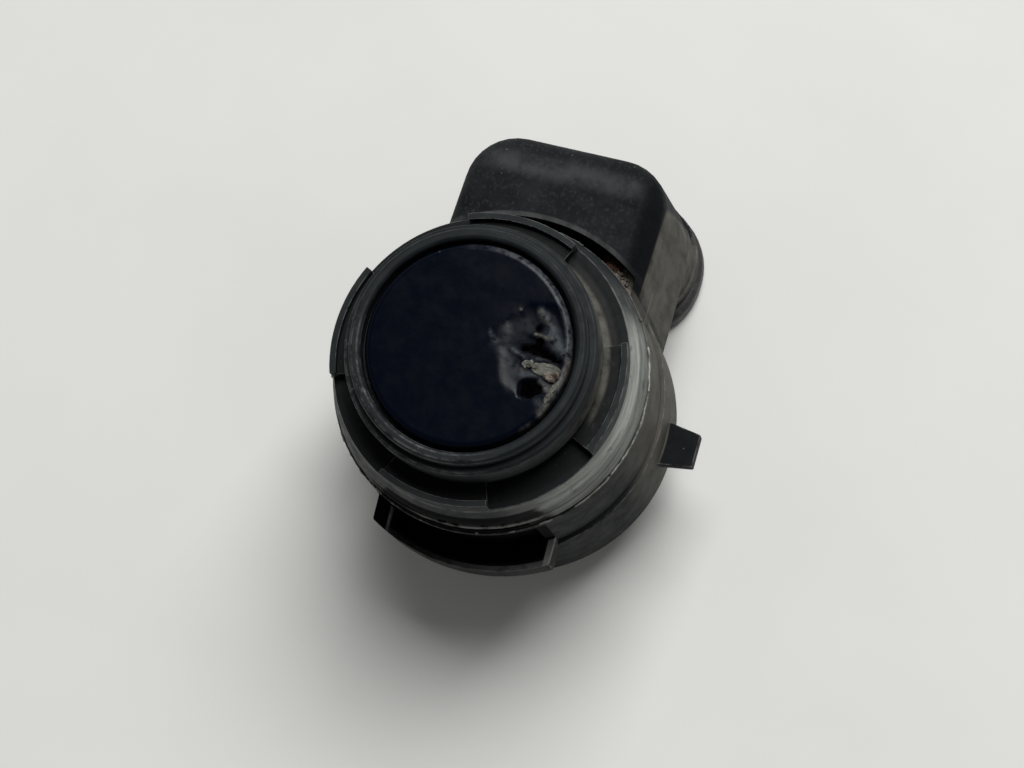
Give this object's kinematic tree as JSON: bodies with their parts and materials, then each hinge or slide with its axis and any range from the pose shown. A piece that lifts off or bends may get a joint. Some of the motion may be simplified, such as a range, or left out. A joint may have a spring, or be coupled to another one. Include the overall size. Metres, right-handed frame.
{
  "type": "parking sensor",
  "caption": "Ultrasonic parking sensor: round membrane in a soft ring, castellated front ring, barrel housing with a side connector shroud, latch pocket and lugs.",
  "frame": {"origin": "on the sensing axis, in the plane of the front ring's raised lips, where the sensor seats against the back of a bumper bracket", "axes": "+Z out of the membrane along the sensing axis, +Y from the axis towards the connector shroud, +X towards one side lug, -Y towards the latch pocket"},
  "size_m": [0.0308, 0.0358, 0.0315],
  "materials": {
    "housing_plastic": "matte charcoal plastic, dusty and scuffed",
    "ring_plastic": "matte grey plastic, worn pale on its edges and cone",
    "silicone": "soft dark grey silicone, lightly scuffed",
    "membrane_paint": "near-black blue paint on aluminium, dented and chipped",
    "ceramic": "sintered ceramic, silvered",
    "foam": "soft silicone foam",
    "wire_red": "insulated wire",
    "wire_black": "insulated wire",
    "board": "solder-masked glass-fibre board",
    "chip_black": "moulded epoxy",
    "ferrite": "sintered ferrite",
    "bobbin_plastic": "moulded plastic",
    "copper": "enamelled copper wire",
    "can": "drawn aluminium can",
    "chip_tan": "ceramic chip",
    "contact": "plated brass",
    "resin": "cast sealing resin",
    "collar_plastic": "black plastic"
  },
  "bodies": {
    "root": {"housing": "housing_plastic", "front_ring": "ring_plastic", "decoupling_ring": "silicone", "membrane_cup": "membrane_paint", "piezo_disc": "ceramic", "damping_foam": "foam", "lead_wire_live": "wire_red", "lead_wire_return": "wire_black", "circuit_board": "board", "control_chip": "chip_black", "transformer_core": "ferrite", "transformer_bobbin": "bobbin_plastic", "transformer_winding": "copper", "buffer_capacitor": "can", "chip_capacitors": "chip_tan", "chip_resistors": "chip_black", "protection_diode": "chip_black", "terminal_supply": "contact", "terminal_signal": "contact", "terminal_ground": "contact", "sealing_resin": "resin", "connector_collar": "collar_plastic"}
  },
  "joints": []
}
